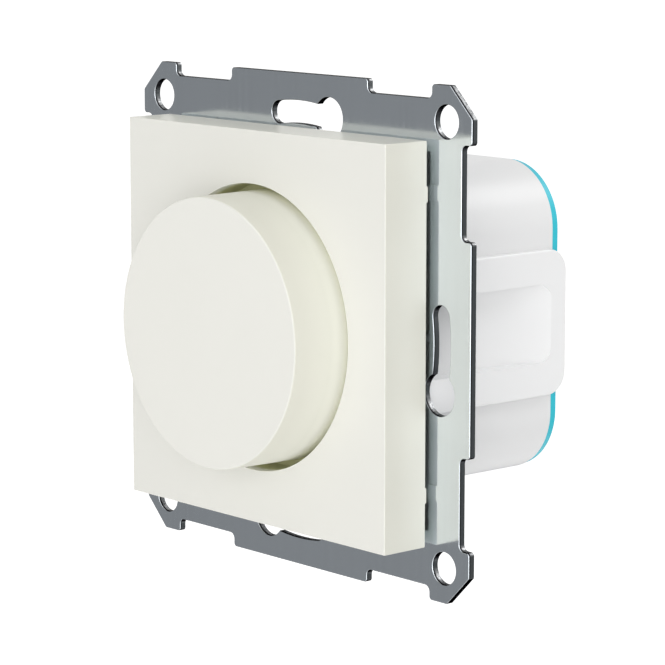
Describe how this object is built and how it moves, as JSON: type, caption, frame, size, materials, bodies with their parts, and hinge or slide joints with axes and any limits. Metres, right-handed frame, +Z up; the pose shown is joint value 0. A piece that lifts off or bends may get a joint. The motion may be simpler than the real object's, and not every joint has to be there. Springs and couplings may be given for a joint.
{
  "type": "rotary dimmer switch",
  "caption": "Rotary push dimmer insert: a knob in a square centre plate on a steel support frame that screws to a flush wall box, with the dimmer's housing behind it.",
  "frame": {"origin": "centre of the box screws' circle, on the knob's axis, in the back face of the support frame, which lies on the wall", "axes": "+Y into the wall along the knob's axis, +Z up, +X to the right as seen from the room"},
  "size_m": [0.071, 0.0464, 0.071],
  "materials": {
    "zinc_steel": "zinc plated and rolled, bright",
    "cream_plastic": "glossy cream white moulding",
    "white_plastic": "smooth white moulding",
    "turquoise_plastic": "smooth turquoise moulding",
    "nickel_brass": "nickel plated, turned",
    "spring_steel": "bright spring steel",
    "screw_steel": "zinc plated",
    "black_plastic": "moulded, fine grain",
    "board": "green glass fibre laminate",
    "phenolic": "brown laminate",
    "contact_brass": "stamped, bare",
    "heat_aluminium": "mill finish",
    "fuse_clear": "clear tube",
    "ferrite": "pressed and coated",
    "copper_wire": "lacquered copper",
    "yellow_film": "moulded box",
    "sleeve_blue": "shrink sleeve",
    "resistor_glaze": "lacquered"
  },
  "bodies": {
    "root": {"support_frame": "zinc_steel", "carrier": "white_plastic", "centre_plate": "cream_plastic", "bush": "nickel_brass", "washer": "screw_steel", "nut": "nickel_brass", "resistance_track": "phenolic", "control_can": "spring_steel", "switch_body": "black_plastic", "switch_contacts": "contact_brass", "return_spring": "spring_steel", "housing": "white_plastic", "rear_cover": "turquoise_plastic", "frame_screws": "screw_steel", "circuit_board": "board", "terminal_block": "black_plastic", "terminal_cages": "contact_brass", "terminal_screws": "screw_steel", "heat_plate": "heat_aluminium", "triac": "black_plastic", "triac_screw": "screw_steel", "fuse_glass": "fuse_clear", "fuse_caps": "spring_steel", "fuse_clips": "spring_steel", "choke_core": "ferrite", "choke_winding": "copper_wire", "line_capacitor": "yellow_film", "smoothing_capacitor": "sleeve_blue", "resistors": "resistor_glaze", "diac": "resistor_glaze"},
    "pusher": {"switch_plunger": "white_plastic", "contact_bridge": "contact_brass"},
    "dial": {"knob": "cream_plastic", "knob_clip": "spring_steel", "shaft": "nickel_brass"},
    "wiper": {"wiper": "black_plastic"}
  },
  "joints": [
    {"name": "push", "type": "slide", "parent": "root", "child": "pusher", "axis": [0, 1, 0], "range_m": [0, 0.001], "stiffness_N_per_m": 2500, "springref_m": -0.001, "deforming": ["return_spring"]},
    {"name": "knob_turn", "type": "hinge", "parent": "pusher", "child": "dial", "pos_m": [0, 0, 0], "axis": [0, 1, 0], "range_deg": [-150, 150]},
    {"name": "wiper_turn", "type": "hinge", "parent": "root", "child": "wiper", "pos_m": [0, 0, 0], "axis": [0, 1, 0], "range_deg": [-150, 150]}
  ],
  "couplings": [
    {"joint": "wiper_turn", "follows": "knob_turn", "ratio": 1}
  ]
}
